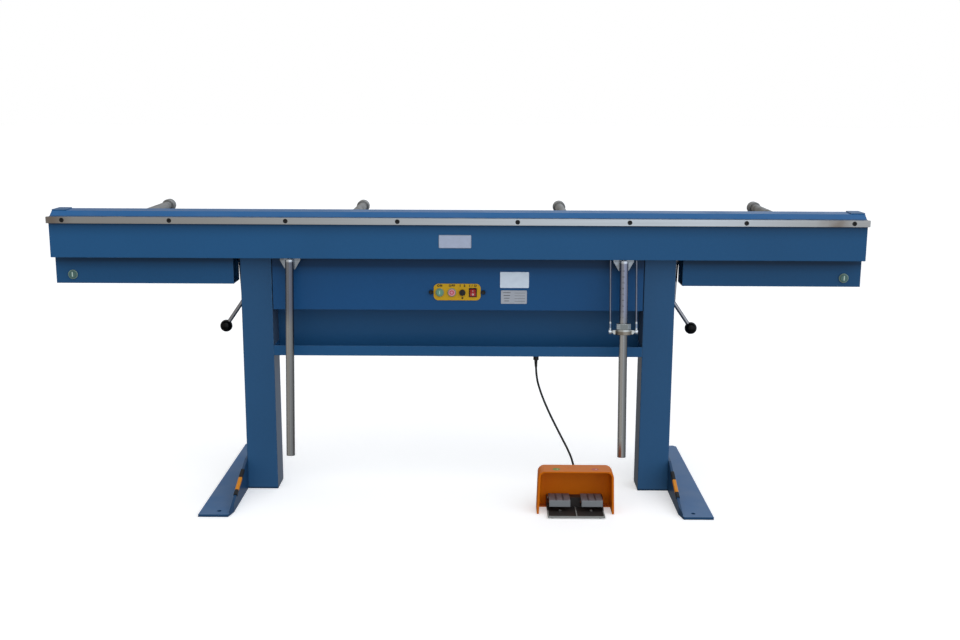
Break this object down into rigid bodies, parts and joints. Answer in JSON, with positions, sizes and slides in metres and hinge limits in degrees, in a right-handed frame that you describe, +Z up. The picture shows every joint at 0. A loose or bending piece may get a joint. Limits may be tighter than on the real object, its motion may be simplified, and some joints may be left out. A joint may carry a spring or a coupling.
{
  "type": "magnetic sheet metal brake",
  "caption": "Floor-standing magnetic sheet metal brake: long electromagnet bed with lift-up clamp bar, hinged beam with pipe handles, angle stop, backstop rods, tool tray and foot switch.",
  "frame": {"origin": "on the floor, under the middle of the machine's box with its foot switch", "axes": "+X along the bed to the operator's right, +Y to the rear, +Z up"},
  "size_m": [2.59, 0.76, 0.9315],
  "materials": {
    "blue_paint": "satin blue powder coat",
    "foot_paint": "satin grey-blue powder coat",
    "bar_steel": "ground",
    "pole_steel": "ground, light wear",
    "handle_steel": "zinc plated, dull",
    "dark_fastener": "black oxide",
    "clamp_paint": "satin blue, polished top",
    "copper_coil": "varnished copper",
    "slot_fill": "matte resin",
    "bronze": "oiled",
    "black_plastic": "polished",
    "black_rubber": "matte",
    "orange_plastic": "satin",
    "yellow_plate": "satin",
    "green_plastic": "gloss",
    "red_plastic": "gloss",
    "core_steel": "varnished laminations",
    "sink_aluminium": "extruded"
  },
  "bodies": {
    "frame": {"column_left": "blue_paint", "column_right": "blue_paint", "foot_left": "foot_paint", "foot_right": "foot_paint", "foot_bolts": "handle_steel", "edge_guard_sleeves": "orange_plastic", "edge_guard_ends": "black_rubber", "front_panel": "blue_paint", "rear_cover": "blue_paint", "tool_tray": "blue_paint", "end_box_left": "blue_paint", "end_box_right": "blue_paint", "bed_base": "blue_paint", "front_pole": "pole_steel", "centre_pole": "pole_steel", "rear_pole": "blue_paint", "magnet_coil": "copper_coil", "slot_cover": "slot_fill", "bed_end_blocks": "blue_paint", "hinge_cups": "bar_steel", "stop_bracket": "handle_steel", "backstop_rods": "bar_steel", "shaft_bushes": "bronze", "control_plate": "yellow_plate", "switch_bezels": "black_plastic", "transformer": "core_steel", "rectifier": "sink_aluminium", "cable_glands": "black_plastic", "foot_cable": "black_rubber", "foot_base": "black_plastic", "foot_hood": "orange_plastic", "pedal_pin": "handle_steel"},
    "beam": {"bending_beam": "blue_paint", "bending_strip": "bar_steel", "strip_screws": "dark_fastener", "hinge_journals": "bar_steel", "handle_left": "handle_steel", "handle_right": "handle_steel", "handle_gussets": "handle_steel"},
    "yoke": {"stop_yoke": "handle_steel"},
    "collar": {"stop_collar": "handle_steel"},
    "links": {"link_rods": "handle_steel"},
    "clamp": {"clamp_bar": "clamp_paint", "clamp_end_caps": "blue_paint"},
    "pins": {"lift_pins": "bar_steel"},
    "lift": {"lift_shaft": "bar_steel", "lift_levers": "handle_steel", "ball_knobs": "black_plastic"},
    "start": {"start_button": "green_plastic"},
    "stop": {"stop_button": "red_plastic"},
    "selector": {"selector_knob": "black_plastic"},
    "rocker": {"rocker_switch": "red_plastic"},
    "end_start_left": {"end_button_left": "red_plastic"},
    "end_start_right": {"end_button_right": "red_plastic"},
    "left_pedal": {"pedal_left": "black_plastic"},
    "right_pedal": {"pedal_right": "black_plastic"},
    "backstop_1": {"backstop_collar_1": "handle_steel"},
    "backstop_2": {"backstop_collar_2": "handle_steel"},
    "backstop_3": {"backstop_collar_3": "handle_steel"},
    "backstop_4": {"backstop_collar_4": "handle_steel"}
  },
  "joints": [
    {"name": "beam_swing", "type": "hinge", "parent": "frame", "child": "beam", "pos_m": [0, -0.152, 0.9135], "axis": [-1, 0, 0], "range_deg": [0, 135]},
    {"name": "yoke_slide", "type": "slide", "parent": "beam", "child": "yoke", "axis": [0, 0.1219, 0.9925], "range_m": [0, 0.16586]},
    {"name": "collar_slide", "type": "slide", "parent": "beam", "child": "collar", "axis": [0, 0.1219, 0.9925], "range_m": [0, 0.16586]},
    {"name": "link_turn", "type": "hinge", "parent": "frame", "child": "links", "pos_m": [0.5275, -0.141, 0.825], "axis": [-1, 0, 0], "range_deg": [0, 140.1]},
    {"name": "clamp_lift", "type": "slide", "parent": "frame", "child": "clamp", "axis": [0, 0, 1], "range_m": [0, 0.038]},
    {"name": "pin_lift", "type": "slide", "parent": "frame", "child": "pins", "axis": [0, 0, 1], "range_m": [0, 0.038]},
    {"name": "lift_turn", "type": "hinge", "parent": "frame", "child": "lift", "pos_m": [0, -0.048, 0.77], "axis": [-1, 0, 0], "range_deg": [0, 60]},
    {"name": "start_press", "type": "slide", "parent": "frame", "child": "start", "axis": [0, 1, 0], "range_m": [0, 0.003], "stiffness_N_per_m": 500, "springref_m": -0.004},
    {"name": "stop_press", "type": "slide", "parent": "frame", "child": "stop", "axis": [0, 1, 0], "range_m": [0, 0.003], "stiffness_N_per_m": 500, "springref_m": -0.004},
    {"name": "selector_turn", "type": "hinge", "parent": "frame", "child": "selector", "pos_m": [0.0145, -0.1175, 0.669], "axis": [0, -1, 0], "range_deg": [0, 90]},
    {"name": "rocker_tilt", "type": "hinge", "parent": "frame", "child": "rocker", "pos_m": [0.0485, -0.1175, 0.669], "axis": [-1, 0, 0], "range_deg": [0, 16]},
    {"name": "end_start_left_press", "type": "slide", "parent": "frame", "child": "end_start_left", "axis": [0, 1, 0], "range_m": [0, 0.003], "stiffness_N_per_m": 500, "springref_m": -0.004},
    {"name": "end_start_right_press", "type": "slide", "parent": "frame", "child": "end_start_right", "axis": [0, 1, 0], "range_m": [0, 0.003], "stiffness_N_per_m": 500, "springref_m": -0.004},
    {"name": "left_pedal_press", "type": "hinge", "parent": "frame", "child": "left_pedal", "pos_m": [0.3265, -0.271, 0.031], "axis": [1, 0, 0], "range_deg": [0, 5.5], "stiffness_Nm_per_rad": 6, "springref_deg": -5.73},
    {"name": "right_pedal_press", "type": "hinge", "parent": "frame", "child": "right_pedal", "pos_m": [0.4285, -0.271, 0.031], "axis": [1, 0, 0], "range_deg": [0, 5.5], "stiffness_Nm_per_rad": 6, "springref_deg": -5.73},
    {"name": "backstop_1_slide", "type": "slide", "parent": "frame", "child": "backstop_1", "axis": [0, -1, 0], "range_m": [0, 0.33]},
    {"name": "backstop_2_slide", "type": "slide", "parent": "frame", "child": "backstop_2", "axis": [0, -1, 0], "range_m": [0, 0.33]},
    {"name": "backstop_3_slide", "type": "slide", "parent": "frame", "child": "backstop_3", "axis": [0, -1, 0], "range_m": [0, 0.33]},
    {"name": "backstop_4_slide", "type": "slide", "parent": "frame", "child": "backstop_4", "axis": [0, -1, 0], "range_m": [0, 0.33]}
  ],
  "couplings": [
    {"joint": "yoke_slide", "follows": "beam_swing", "m_per_rad": 0.070389},
    {"joint": "collar_slide", "follows": "beam_swing", "m_per_rad": 0.070389},
    {"joint": "link_turn", "follows": "beam_swing", "ratio": 1.0378},
    {"joint": "pin_lift", "follows": "clamp_lift", "ratio": 1},
    {"joint": "lift_turn", "follows": "clamp_lift", "rad_per_m": 27.557}
  ]
}
